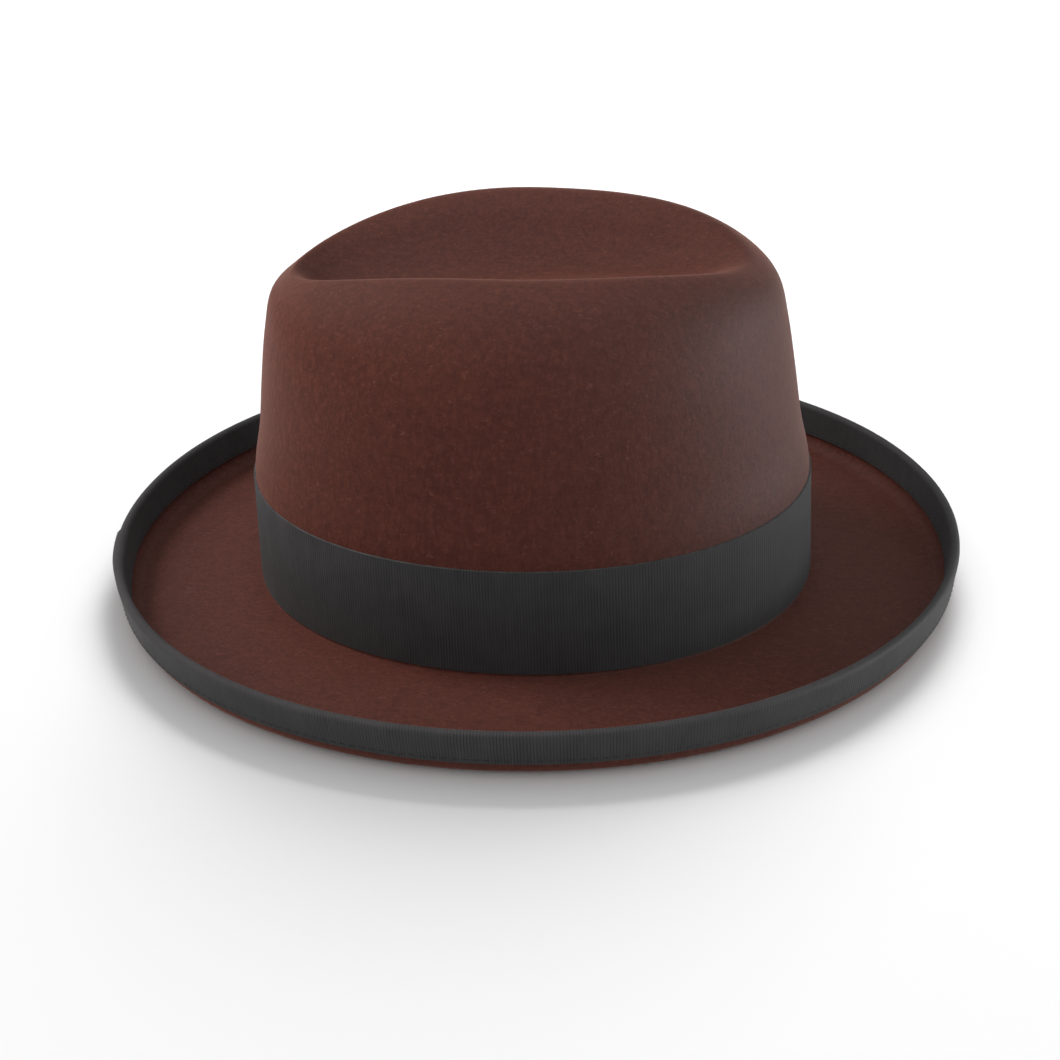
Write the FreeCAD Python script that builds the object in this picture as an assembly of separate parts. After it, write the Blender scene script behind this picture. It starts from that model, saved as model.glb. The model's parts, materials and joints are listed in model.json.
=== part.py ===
import FreeCAD, Part
import math
import os
from FreeCAD import Vector

# A stiff fur-felt dress hat: centre-dent crown, ribbon band with a flat bow at the
# wearer's left, brim curled up all round and bound with folded ribbon, leather
# sweatband and satin lining.  Millimetres.  +X is the front of the hat, +Y the
# wearer's left, +Z up.  The origin is on the table, under the middle of the hat.

# ---- driving dimensions ------------------------------------------------------
felt_thickness = 2.2
head_length = 209.8          # outside of the felt at the foot of the crown
head_width = 172.6
crown_height = 134.8         # table to the top of the two ridges
oval_fullness = 0.004        # how much squarer than an ellipse
oval_egg = -0.012            # negative: wider at the back
brim_length = 315.9          # middle of the bound edge, back to front
brim_width = 285.4
brim_shift = 0.3             # the brim is a trace deeper in front
brim_rise = 1.7              # underside at the crown above the lowest line
break_radius = 1.0           # where the crown turns into the brim
curl_radius = 7.9            # underside of the turned-up edge
curl_lean = 8.0              # degrees the turned-up edge leans out
curl_wall = 11.9             # straight part of the turned-up edge

ribbon_width = 40.5
ribbon_thickness = 0.6
band_taper = 0.0254          # the crown wall goes in this much per mm of height
binding_width = 12.3         # ribbon showing on each face of the edge
binding_thickness = 0.55
binding_lap = 13.0           # one end laps over the other at the back
lap_angle = 194.7            # degrees round from the front to where the strip starts
stitch_pitch = 3.5
stitch_length = 2.7
thread_radius = 0.17

sweatband_width = 57.0
sweatband_thickness = 0.9
sweatband_lean = 1.6         # how far its top edge stands in from the wall
reed_radius = 0.8
tape_thickness = 0.3
tape_flange = 9.0

lining_thickness = 0.25
lining_foot = 30.0           # height of the hidden lower edge of the lining
lining_sag = 2.5
piping_radius = 0.9

bow_length = 76.0
bow_angle = 90.0             # degrees round from the front: the wearer's left
knot_length = 15.0

# ---- clearances --------------------------------------------------------------
laid_gap = 0.04              # cloth laid or sewn flat on something
inside_gap = 0.25            # reed tape in the joint of sweatband and felt
lining_gap = 0.35            # lining hanging inside the crown

# ---- the crown's rings, from the middle of the dent out to the band ----------
# length, width and forward shift as parts of the crown foot; height at the sides,
# front and back as parts of the crown height; how suddenly it falls at each end.
crown_rings = [
    (0.445, 0.046, -0.045, 0.8440, 0.8680, 0.8100, 1.0, 1.0),
    (0.580, 0.185, -0.045, 0.8550, 0.8860, 0.8190, 2.0, 2.0),
    (0.690, 0.335, -0.040, 0.9180, 0.9120, 0.8440, 3.0, 2.2),
    (0.742, 0.440, -0.032, 0.9720, 0.9300, 0.8720, 4.0, 2.2),
    (0.784, 0.535, -0.018, 1.0000, 0.9370, 0.8890, 4.0, 2.2),
    (0.819, 0.630, -0.006, 0.9800, 0.9200, 0.8790, 3.5, 2.2),
    (0.850, 0.722, 0.0, 0.9380, 0.8950, 0.8630, 3.0, 2.2),
    (0.879, 0.814, 0.0, 0.8690, 0.8560, 0.8420, 2.0, 2.0),
    (0.903, 0.890, 0.0, 0.7700, 0.7700, 0.7640, 2.0, 2.0),
    (0.932, 0.936, 0.0, 0.6230, 0.6230, 0.6230, 2.0, 2.0),
    (0.955, 0.959, 0.0, 0.4900, 0.4900, 0.4900, 2.0, 2.0),
]
angle_count = 120
rings_per_span = 4

# ---- heights and places worked out from the above ----------------------------
turn = 2*math.pi
lean = math.radians(curl_lean)
brim_top_at_crown = felt_thickness + brim_rise
ribbon_foot = brim_top_at_crown + break_radius
ribbon_top = ribbon_foot + ribbon_width
reed_height = brim_top_at_crown + 0.5
sweatband_foot = reed_height + reed_radius + laid_gap
edge_radius = felt_thickness/2


# ---- geometry helpers --------------------------------------------------------
def ovals_point(half_length, half_width, angle):
    """Point on the hat's oval, flat on the table."""
    k = oval_fullness
    x = half_length*(math.cos(angle) - k*math.cos(3*angle))/(1 - k)
    y = half_width*(math.sin(angle) + k*math.sin(3*angle))/(1 - k)
    return Vector(x, y*(1 + oval_egg*math.cos(angle)), 0)


def ovals_normal(half_length, half_width, angle):
    """Outward normal of the oval, in the plane of the table."""
    step = 0.001
    ahead = ovals_point(half_length, half_width, angle + step)
    behind = ovals_point(half_length, half_width, angle - step)
    along = ahead - behind
    return Vector(along.y, -along.x, 0).normalize()


def wall_place(angle, out, height):
    """A point measured out from the felt's outer face at the foot of the crown."""
    inset = band_taper*(height - ribbon_foot)
    half_length = head_length/2 - inset
    half_width = head_width/2 - inset*head_width/head_length
    point = ovals_point(half_length, half_width, angle)
    point += ovals_normal(half_length, half_width, angle)*out
    return point + Vector(0, 0, height)


def edge_place(angle, out, height):
    """A point measured out from the middle of the bound edge."""
    point = ovals_point(brim_length/2, brim_width/2, angle)
    point += ovals_normal(brim_length/2, brim_width/2, angle)*out
    return point + Vector(brim_shift, 0, height)


def curl_place(angle, across, up):
    """A point in the turned-up wall: across from its middle, up from its foot."""
    foot_height = curl_radius*(1 - math.sin(lean)) + edge_radius*math.sin(lean)
    out = -(curl_wall - edge_radius)*math.sin(lean) + up*math.sin(lean)
    out += across*math.cos(lean)
    height = foot_height + up*math.cos(lean) - across*math.sin(lean)
    return edge_place(angle, out, height)


def softened(points, closed):
    """Poles of a cubic that passes through the points."""
    last = len(points) - 1
    poles = []
    for i, here in enumerate(points):
        if closed:
            before = points[i - 1]
            after = points[(i + 1) % len(points)]
        elif i in (0, last):
            poles.append(here)
            continue
        else:
            before = points[i - 1]
            after = points[i + 1]
        poles.append(here - (before - here*2 + after)*(1.0/6))
    return poles


def knots_for(count, degree, closed):
    """Even knots and their multiplicities."""
    if closed:
        return list(range(count + 1)), [1]*(count + 1)
    inner = count - degree
    return list(range(inner + 1)), [degree + 1] + [1]*(inner - 1) + [degree + 1]


def curve(points, closed, smooth=True):
    """Edge through the points."""
    degree = 3 if smooth and len(points) > 3 else 1
    poles = softened(points, closed) if degree == 3 else points
    knots, mults = knots_for(len(points), degree, closed)
    spline = Part.BSplineCurve()
    spline.buildFromPolesMultsKnots(poles, mults, knots, closed, degree)
    return spline.toShape()


def skin(rows, closed_rows, smooth=True, closed_across=False):
    """Face through rows of points; each row is smooth, closed or open."""
    across = 3 if smooth and len(rows) > 3 else 1
    along = 3 if len(rows[0]) > 3 else 1
    poles = [softened(row, closed_rows) if along == 3 else row for row in rows]
    if across == 3:
        columns = [softened(list(col), closed_across) for col in zip(*poles)]
        poles = [list(row) for row in zip(*columns)]
    u_knots, u_mults = knots_for(len(rows), across, closed_across)
    v_knots, v_mults = knots_for(len(rows[0]), along, closed_rows)
    surface = Part.BSplineSurface()
    surface.buildFromPolesMultsKnots(poles, u_mults, v_mults, u_knots, v_knots,
                                     closed_across, closed_rows, across, along)
    return surface.toShape()


def solid_from(faces):
    """Sew the faces into one closed solid, right way out."""
    shell = Part.makeShell(faces)
    if len(faces) > 1:
        shell.sewShape()
    solid = Part.makeSolid(shell)
    if solid.Volume < 0:
        solid.reverse()
    return solid


def flat_face(edges):
    return Part.Face(Part.Wire(edges))


def between(rows_a, rows_b, closed_rows):
    """Solid between two sheets of points that match one for one."""
    faces = [skin(rows_a, closed_rows), skin(rows_b, closed_rows)]
    faces.append(skin([rows_a[0], rows_b[0]], closed_rows))
    faces.append(skin([rows_a[-1], rows_b[-1]], closed_rows))
    if not closed_rows:
        for end in (0, -1):
            line_a = [row[end] for row in rows_a]
            line_b = [row[end] for row in rows_b]
            edges = [curve(line_a, False), curve([line_a[-1], line_b[-1]], False),
                     curve(line_b[::-1], False), curve([line_b[0], line_a[0]], False)]
            faces.append(flat_face(edges))
    return solid_from(faces)


def offset_path(path, distance):
    """The path moved sideways, to its left."""
    moved = []
    for i, (x, y) in enumerate(path):
        x0, y0 = path[max(i - 1, 0)]
        x1, y1 = path[min(i + 1, len(path) - 1)]
        length = math.hypot(x1 - x0, y1 - y0)
        moved.append((x - (y1 - y0)/length*distance, y + (x1 - x0)/length*distance))
    return moved


def strip(place, path, thickness, stations, closed):
    """Strip of cloth or leather: a path across it, carried along the stations."""
    sides = []
    for side in (thickness/2, -thickness/2):
        moved = offset_path(path, side)
        sides.append([[place(s, x, y) for s in stations] for x, y in moved])
    return between(sides[0], sides[1], closed)


def loop(place, path, thickness, stations):
    """Strip joined end to end into a loop: a closed path, carried along."""
    count = len(path)
    rings = []
    for side in (thickness/2, -thickness/2):
        moved = []
        for i, (x, y) in enumerate(path):
            x0, y0 = path[i - 1]
            x1, y1 = path[(i + 1) % count]
            length = math.hypot(x1 - x0, y1 - y0)
            moved.append((x - (y1 - y0)/length*side, y + (x1 - x0)/length*side))
        rings.append([[place(s, x, y) for x, y in moved] for s in stations])
    faces = [skin(rings[0], True), skin(rings[1], True)]
    for end in (0, -1):
        faces.append(skin([rings[0][end], rings[1][end]], True))
    return solid_from(faces)


def rod(points, sideways, radius, closed):
    """Round rod along the points; sideways gives each point's outward normal."""
    sides = 12
    rows = []
    for k in range(sides):
        c = math.cos(turn*k/sides)*radius
        s = math.sin(turn*k/sides)*radius
        rows.append([p + n*c + Vector(0, 0, s) for p, n in zip(points, sideways)])
    faces = [skin(rows, closed, closed_across=True)]
    if not closed:
        for end in (0, -1):
            faces.append(flat_face([curve([row[end] for row in rows], True)]))
    return solid_from(faces)


def stitch(middle, along, length, radius):
    """One laid thread: a short round bar."""
    along = Vector(along).normalize()
    return Part.makeCylinder(radius, length, middle - along*(length/2), along)


def even_angles(place, pitch, start, stop):
    """Angles that come out evenly spaced along the edge of the oval."""
    steps = 2000
    total = 0.0
    table = [(0.0, start)]
    last = place(start)
    for i in range(1, steps + 1):
        angle = start + (stop - start)*i/steps
        here = place(angle)
        total += here.distanceToPoint(last)
        last = here
        table.append((total, angle))
    count = int(total/pitch)
    found = []
    index = 0
    for k in range(count):
        target = (k + 0.5)*total/count
        while table[index][0] < target:
            index += 1
        found.append(table[index][1])
    return found


def arc(middle_x, middle_y, radius, start, stop, count):
    """Points round an arc, angles in degrees."""
    points = []
    for i in range(count):
        angle = math.radians(start + (stop - start)*i/(count - 1))
        points.append((middle_x + radius*math.cos(angle), middle_y + radius*math.sin(angle)))
    return points


closed_angles = [turn*i/angle_count for i in range(angle_count)]


# ---- felt body ---------------------------------------------------------------
def crown_ring_point(ring, angle):
    length, width, shift, side, front, back, front_fall, back_fall = ring
    point = ovals_point(length*head_length/2, width*head_width/2, angle)
    c = math.cos(angle)
    if front_fall == 1.0:
        height = side + (front - back)/2*point.x/(length*head_length/2)
    elif c > 0:
        height = side + (front - side)*c**front_fall
    else:
        height = side + (back - side)*(-c)**back_fall
    return point + Vector(shift*head_length/2, 0, height*crown_height)


def crown_rows():
    """Rows of points on the outside of the crown, dent first, ribbon top last."""
    rings = [[crown_ring_point(ring, a) for a in closed_angles] for ring in crown_rings]
    rings.append([wall_place(a, 0, ribbon_top) for a in closed_angles])
    beyond = [wall_place(a, 0, ribbon_foot) for a in closed_angles]
    knots = [0.0]
    for here, there in zip(rings, rings[1:]):
        span = sum(p.distanceToPoint(q) for p, q in zip(here, there))/angle_count
        knots.append(knots[-1] + span)
    rows = [rings[0]]
    last = len(rings) - 1
    for i in range(last):
        span = knots[i + 1] - knots[i]
        for step in range(1, rings_per_span + 1):
            t = step/rings_per_span
            row = []
            for j in range(angle_count):
                p0, p1 = rings[i][j], rings[i + 1][j]
                if i == 0:
                    m0 = (p1 - p0)*(1/span)
                else:
                    m0 = slope(rings[i - 1][j], p0, p1, knots[i] - knots[i - 1], span)
                if i + 1 == last:
                    m1 = (beyond[j] - p1).normalize()
                else:
                    ahead = knots[i + 2] - knots[i + 1]
                    m1 = slope(p0, p1, rings[i + 2][j], span, ahead)
                row.append(hermite(p0, p1, m0*span, m1*span, t))
            rows.append(row)
    return rows


def slope(before, here, after, span_before, span_after):
    """Tangent of the smooth line through three unevenly spaced points."""
    first = (here - before)*(1/span_before)
    second = (after - here)*(1/span_after)
    return (first*span_after + second*span_before)*(1/(span_before + span_after))


def hermite(p0, p1, m0, m1, t):
    a = 2*t**3 - 3*t**2 + 1
    b = t**3 - 2*t**2 + t
    c = -2*t**3 + 3*t**2
    d = t**3 - t**2
    return p0*a + m0*b + p1*c + m1*d


def brim_rows():
    """Rows on the top of the felt from under the ribbon out to the bound edge."""
    rows = []
    for part in (0.75, 0.5, 0.25, 0.08, 0.0):
        height = ribbon_foot + ribbon_width*part
        rows.append([wall_place(a, 0, height) for a in closed_angles])
    for x, y in arc(break_radius, ribbon_foot, break_radius, 198, 270, 5):
        rows.append([wall_place(a, x, y) for a in closed_angles])
    inner_radius = curl_radius - felt_thickness
    curl_middle = -(curl_wall - edge_radius)*math.sin(lean)
    curl_middle -= (curl_radius - edge_radius)*math.cos(lean)
    steps = 9
    for i in range(1, steps + 1):
        t = i/(steps + 0.6)
        ease = t*t*(3 - 2*t)
        height = brim_top_at_crown - brim_rise*ease
        row = []
        for a in closed_angles:
            crown = wall_place(a, break_radius, 0)
            edge = edge_place(a, curl_middle, 0)
            point = crown*(1 - t) + edge*t
            row.append(Vector(point.x, point.y, height))
        rows.append(row)
    for x, y in arc(curl_middle, curl_radius, inner_radius, 270, 360 - curl_lean, 9):
        rows.append([edge_place(a, x, y) for a in closed_angles])
    for part in (0.3, 0.65, 1.0):
        up = (curl_wall - edge_radius)*part
        rows.append([curl_place(a, -edge_radius, up) for a in closed_angles])
    return rows


def inward(rows, distance):
    """The same rows moved straight in through the felt."""
    moved = []
    last = len(rows) - 1
    for i, row in enumerate(rows):
        if i == 0:
            middle = (row[0] + row[angle_count//2])*0.5
            quarter = row[angle_count//4] - middle
            normal = (row[0] - middle).cross(quarter).normalize()
            moved.append([p - normal*distance for p in row])
            continue
        fresh = []
        for j, point in enumerate(row):
            across = rows[min(i + 1, last)][j] - rows[i - 1][j]
            along = row[(j + 1) % angle_count] - row[j - 1]
            fresh.append(point - across.cross(along).normalize()*distance)
        moved.append(fresh)
    return moved


def felt_body():
    """Crown and brim blocked out of one piece of felt."""
    outside = crown_rows() + brim_rows()
    inside = inward(outside, felt_thickness)
    top = curl_wall - edge_radius
    inside[-1] = [curl_place(a, edge_radius, top) for a in closed_angles]
    edge = [outside[-1]]
    for x, y in arc(0, top, edge_radius, 180, 0, 7)[1:-1]:
        edge.append([curl_place(a, x, y) for a in closed_angles])
    edge.append(inside[-1])
    faces = [skin(outside, True), skin(edge, True), skin(inside, True)]
    faces.append(flat_face([curve(outside[0], True)]))
    faces.append(flat_face([curve(inside[0], True)]))
    return solid_from(faces)


# ---- ribbon round the crown, and its bow -------------------------------------
def open_angles(middle, gap):
    """Angles from one side of a gap in the ring right round to the other."""
    start = middle + gap/2
    stop = middle + turn - gap/2
    return [start + (stop - start)*i/angle_count for i in range(angle_count + 1)]


def level_path(out, low, high):
    return [(out, low + (high - low)*i/4) for i in range(5)]


def crown_ribbon():
    """One length of ribbon drawn round the crown, its ends meeting under the bow."""
    out = laid_gap + ribbon_thickness/2
    gap = 0.6/(head_length/2)
    path = level_path(out, ribbon_foot + laid_gap, ribbon_top)
    return strip(wall_place, path, ribbon_thickness,
                 open_angles(math.radians(bow_angle), gap), False)


def bow_place(height, along, out):
    """Along the ribbon from the bow's middle, out from the ribbon's face."""
    angle = math.radians(bow_angle) + along/(head_length/2)
    return wall_place(angle, laid_gap + ribbon_thickness + out, height)


bow_cloth = 0.5
knot_back = laid_gap + bow_cloth/2
tails_out = knot_back + bow_cloth + laid_gap
loops_out = tails_out + bow_cloth + laid_gap


def bow_tails():
    """Flat under-piece of the bow, its ends cut on a slant."""
    low = ribbon_foot + 1.0
    high = ribbon_top - 1.0

    def place(height, along, out):
        part = (height - low)/(high - low)
        return bow_place(height, along*(1.0 - 0.09*part), out)

    half = bow_length/2 + 3
    path = [(-half + 2*half*i/12, tails_out) for i in range(13)]
    return strip(place, path, bow_cloth, [low, high], False)


def bow_loops():
    """Ribbon folded into two flat loops, front and back."""
    half = bow_length/2
    rise = 2.6
    count = 48
    path = []
    for i in range(count):
        t = turn*i/count
        along = half*math.cos(t)
        swell = abs(math.sin(t))**0.7*rise*(0.18 + 0.82*math.sin(2*t)**2)
        out = loops_out + rise*0.25 + (swell if math.sin(t) >= 0 else -swell*0.12)
        path.append((along, out + (0.3 if math.sin(t) >= 0 else -0.3)))
    low = ribbon_foot + 1.6
    high = ribbon_top - 1.6
    return loop(bow_place, path, bow_cloth, [low, high])


def bow_knot():
    """Cross-piece wrapped round the middle of the bow and sewn behind."""
    low = ribbon_foot + 0.5
    high = ribbon_top - 0.5
    front = loops_out + 2.4
    middle = (knot_back + front)/2
    reach = (front - knot_back)/2
    path = []
    for i in range(9):
        path.append((knot_back, high - (high - low)*i/8))
    for x, y in arc(middle, low, reach, 180, 360, 7)[1:-1]:
        path.append((x, y + reach*0.6))
    for i in range(9):
        path.append((front, low + (high - low)*i/8))
    for x, y in arc(middle, high, reach, 0, 180, 7)[1:-1]:
        path.append((x, y - reach*0.6))
    half = knot_length/2
    stations = [-half + 2*half*i/4 for i in range(5)]

    def place(along, out, height):
        return bow_place(height, along, out)

    return loop(place, path, bow_cloth, stations)


def bow_stitches():
    """Tacks at the four corners of the knot that hold the bow to the ribbon."""
    tacks = []
    for along in (-knot_length/2 - 1.5, knot_length/2 + 1.5):
        for height in (ribbon_foot + 2.0, ribbon_top - 2.0):
            base = bow_place(height, along, 0)
            out = bow_place(height, along, 1) - base
            side = Vector(0, 0, 1).cross(out)
            middle = bow_place(height, along, tails_out + bow_cloth/2 + thread_radius)
            tacks.append(stitch(middle, side, 2.2, thread_radius))
    return Part.makeCompound(tacks)


# ---- ribbon folded over the brim edge ----------------------------------------
def binding_path(lift):
    """Up the outside, over the edge and down the inside, in the curl's section."""
    radius = edge_radius + laid_gap + binding_thickness/2 + lift
    top = curl_wall - edge_radius
    foot = top + radius + binding_thickness/2 - binding_width
    path = [(radius, foot + (top - foot)*i/4) for i in range(4)]
    path += arc(0, top, radius, 0, 180, 9)
    path += [(-radius, top + (foot - top)*(i + 1)/4) for i in range(4)]
    return path


def binding_angles():
    start = math.radians(lap_angle)
    extra = binding_lap/(brim_length/2)
    return start, start - turn - extra


def brim_binding():
    """One length of ribbon folded over the edge, one end lapped over the other."""
    start, stop = binding_angles()
    count = angle_count + 12
    lap_begins = start - turn + 0.02
    ramp = 0.05
    lift_full = binding_thickness + laid_gap
    stations = []
    for i in range(count + 1):
        stations.append(start + (lap_begins + ramp - start)*i/count)
    for i in range(1, 13):
        stations.append(lap_begins + ramp + (stop - lap_begins - ramp)*i/12)
    sides = []
    for half in (binding_thickness/2, -binding_thickness/2):
        columns = []
        for angle in stations:
            t = (lap_begins + ramp - angle)/ramp
            t = min(max(t, 0.0), 1.0)
            path = offset_path(binding_path(lift_full*t*t*(3 - 2*t)), half)
            columns.append([curl_place(angle, x, y) for x, y in path])
        sides.append([list(row) for row in zip(*columns)])
    return between(sides[0], sides[1], False)


def binding_stitches(side):
    """Row of machine stitches through the binding, seen on one face."""
    start = binding_angles()[0]
    radius = edge_radius + laid_gap + binding_thickness
    top = curl_wall - edge_radius
    foot = top + radius - binding_width
    across = side*(radius + thread_radius + 0.01)
    up = foot + 1.5

    def place(angle):
        return curl_place(angle, across, up)

    margin = 0.09
    bars = []
    for angle in even_angles(place, stitch_pitch, start - turn + margin, start - 0.02):
        along = place(angle + 0.01) - place(angle - 0.01)
        bars.append(stitch(place(angle), along, stitch_length, thread_radius))
    return Part.makeCompound(bars)


# ---- sweatband ---------------------------------------------------------------
front_line = [row[0] for row in crown_rows()]


def drawn_in(height):
    """How far the crown stands in from the straight wall below it."""
    for upper, lower in zip(front_line, front_line[1:]):
        if lower.z <= height < upper.z:
            part = (height - lower.z)/(upper.z - lower.z)
            here = lower.x + (upper.x - lower.x)*part
            return wall_place(0, 0, height).x - here
    return 0.0


def sweatband_out(height):
    """Middle of the leather, measured out from the felt's outer face."""
    start = -(felt_thickness + 2*inside_gap + tape_thickness + sweatband_thickness/2)
    slant = sweatband_lean*(height - sweatband_foot)/sweatband_width
    return start - slant - drawn_in(height)


def sweatband():
    """Leather strip inside the crown, its ends butted at the back."""
    path = []
    for i in range(9):
        height = sweatband_foot + sweatband_width*i/8
        path.append((sweatband_out(height), height))
    return strip(wall_place, path, sweatband_thickness,
                 open_angles(math.pi, 0.5/(head_length/2)), False)


def sweat_reed():
    """Springy round reed that keeps the lower edge of the sweatband open."""
    angles = open_angles(math.pi, 4.0/(head_length/2))
    out = sweatband_out(sweatband_foot)
    points = [wall_place(a, out, reed_height) for a in angles]
    normals = [(wall_place(a, out + 1, reed_height) - p) for a, p in zip(angles, points)]
    return rod(points, normals, reed_radius, False)


def reed_tape():
    """Tape that wraps the reed and is sewn to the felt behind the leather."""
    radius = reed_radius + laid_gap + tape_thickness/2
    centre = sweatband_out(sweatband_foot)
    flange_out = -(felt_thickness + inside_gap + tape_thickness/2)
    path = [(flange_out, reed_height + tape_flange*(4 - i)/4 + 0.6) for i in range(4)]
    path += arc(centre, reed_height, radius, 375, 190, 12)
    return strip(wall_place, path, tape_thickness,
                 open_angles(math.pi, 1.0/(head_length/2)), False)


def sweatband_stitches():
    """Stitches that show on the leather just above the reed."""
    height = sweatband_foot + 1.6
    out = sweatband_out(height) - sweatband_thickness/2 - thread_radius - 0.02

    def place(angle):
        return wall_place(angle, out, height)

    bars = []
    for angle in even_angles(place, 4.0, math.pi + 0.03, math.pi + turn - 0.03):
        along = place(angle + 0.01) - place(angle - 0.01)
        bars.append(stitch(place(angle), along, 3.0, thread_radius))
    return Part.makeCompound(bars)


def back_seam_stitches():
    """Zigzag that joins the two ends of the sweatband at the back."""
    bars = []
    low = sweatband_foot + 4.0
    pitch = 2.2
    count = int((sweatband_width - 8.0)/pitch)
    for i in range(count):
        height = low + pitch*(i + 0.5)
        out = sweatband_out(height) - sweatband_thickness/2 - thread_radius - 0.03
        middle = wall_place(math.pi, out, height)
        tilt = 1.0 if i % 2 else -1.0
        bars.append(stitch(middle, Vector(0, 1.6*tilt, pitch*0.8), 3.0, thread_radius))
    return Part.makeCompound(bars)


back_bow_height = 13.0
back_bow_cloth = 0.3


def back_bow_place(height, along, out):
    """On the inner face of the sweatband at the back; out is into the hat."""
    angle = math.pi + along/(head_length/2)
    inner = sweatband_out(height) - sweatband_thickness/2 - 2*thread_radius - 0.1
    return wall_place(angle, inner - out, height)


def back_bow_loops():
    """Tiny ribbon bow that covers the sweatband joint."""
    path = []
    count = 32
    for i in range(count):
        t = turn*i/count
        along = 11.0*math.cos(t)
        swell = 0.5 + 1.1*abs(math.sin(2*t))
        path.append((along, 1.45 + swell*math.sin(t)))
    low = back_bow_height - 3.0
    high = back_bow_height + 3.0
    return loop(back_bow_place, path, back_bow_cloth, [low, high])


def back_bow_knot():
    """Narrow wrap round the middle of the little bow."""
    back = 0.25
    front = 2.75
    low = back_bow_height - 3.5
    high = back_bow_height + 3.5
    middle = (back + front)/2
    reach = (front - back)/2
    path = arc(middle, low + reach, reach, 180, 360, 7)
    path += [(front, low + reach + (high - low - 2*reach)*i/4) for i in range(1, 4)]
    path += arc(middle, high - reach, reach, 0, 180, 7)
    path += [(back, high - reach - (high - low - 2*reach)*i/4) for i in range(1, 4)]

    def place(along, out, height):
        return back_bow_place(height, along, out)

    return loop(place, path, back_bow_cloth, [-2.0, 0.0, 2.0])


# ---- lining ------------------------------------------------------------------
def lining_top():
    """Height of the lining's tip: clear of the underside of the dent."""
    deepest = crown_rings[0][5]*crown_height
    return deepest - felt_thickness - lining_gap - 4.0


def lining_rows(depth):
    """Rows following the inside of the crown, from the tip seam down."""
    outside = crown_rows() + brim_rows()[:4]
    moved = inward(outside, depth)
    top = lining_top()
    kept = []
    for row in moved:
        height = sum(p.z for p in row)/angle_count
        if lining_foot <= height <= top - 1.0 and len(kept) < 99:
            kept.append(row)
    return kept


def lining_side():
    """Band of satin round the inside of the crown, its foot behind the leather."""
    gap = felt_thickness + lining_gap
    return between(lining_rows(gap), lining_rows(gap + lining_thickness), True)


def seam_ring():
    """Upper edge of the lining's side band."""
    return lining_rows(felt_thickness + lining_gap + lining_thickness/2)[0]


def lining_piping():
    """Covered cord sewn into the seam between side and tip."""
    ring = seam_ring()
    points = []
    normals = []
    for j, point in enumerate(ring):
        along = ring[(j + 1) % angle_count] - ring[j - 1]
        normal = Vector(along.y, -along.x, 0).normalize()
        inset = piping_radius + lining_thickness/2 + laid_gap
        points.append(point - normal*inset + Vector(0, 0, -piping_radius*0.3))
        normals.append(normal)
    return rod(points, normals, piping_radius, True)


def lining_tip():
    """Oval of satin across the top, sagging a little in the middle."""
    ring = seam_ring()
    high = max(p.z for p in ring)
    sheets = []
    for drop in (0.0, lining_thickness):
        rows = []
        for part in (0.06, 0.2, 0.4, 0.6, 0.8, 0.93, 0.985):
            sag = lining_sag*(1 - part*part)
            level = high + piping_radius + laid_gap - drop - sag + 0.2
            rows.append([Vector(p.x*part, p.y*part, level) for p in ring])
        sheets.append(rows)
    faces = [skin(sheets[0], True), skin(sheets[1], True)]
    faces.append(skin([sheets[0][-1], sheets[1][-1]], True))
    faces += [flat_face([curve(sheet[0], True)]) for sheet in sheets]
    return solid_from(faces)


def size_ticket():
    """Slip of paper tucked behind the sweatband at the back."""
    low = sweatband_foot + 16.0
    high = low + 12.0
    out = -(felt_thickness + inside_gap + 0.15)
    angles = [math.pi + 0.35 + 0.02*i for i in range(13)]
    return strip(wall_place, level_path(out, low, high), 0.15, angles, False)


nodes = {
    "felt_body": felt_body,
    "crown_ribbon": crown_ribbon,
    "bow_tails": bow_tails,
    "bow_loops": bow_loops,
    "bow_knot": bow_knot,
    "bow_stitches": bow_stitches,
    "brim_binding": brim_binding,
    "binding_stitches_outer": lambda: binding_stitches(1),
    "binding_stitches_inner": lambda: binding_stitches(-1),
    "sweatband": sweatband,
    "sweat_reed": sweat_reed,
    "reed_tape": reed_tape,
    "sweatband_stitches": sweatband_stitches,
    "back_seam_stitches": back_seam_stitches,
    "back_bow_loops": back_bow_loops,
    "back_bow_knot": back_bow_knot,
    "lining_side": lining_side,
    "lining_tip": lining_tip,
    "lining_piping": lining_piping,
    "size_ticket": size_ticket,
}

os.makedirs("parts", exist_ok=True)
for name, make in nodes.items():
    shape = make()
    box = shape.BoundBox
    print("%-24s valid %s solids %d volume %9.1f  x %.1f %.1f y %.1f %.1f z %.2f %.2f" % (
        name, shape.isValid(), len(shape.Solids), shape.Volume, box.XMin, box.XMax,
        box.YMin, box.YMax, box.ZMin, box.ZMax))
    shape.exportStep("parts/%s.step" % name)
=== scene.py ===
import json
import math

import bmesh
import bpy
import numpy as np
from mathutils import Matrix, Vector

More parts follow.
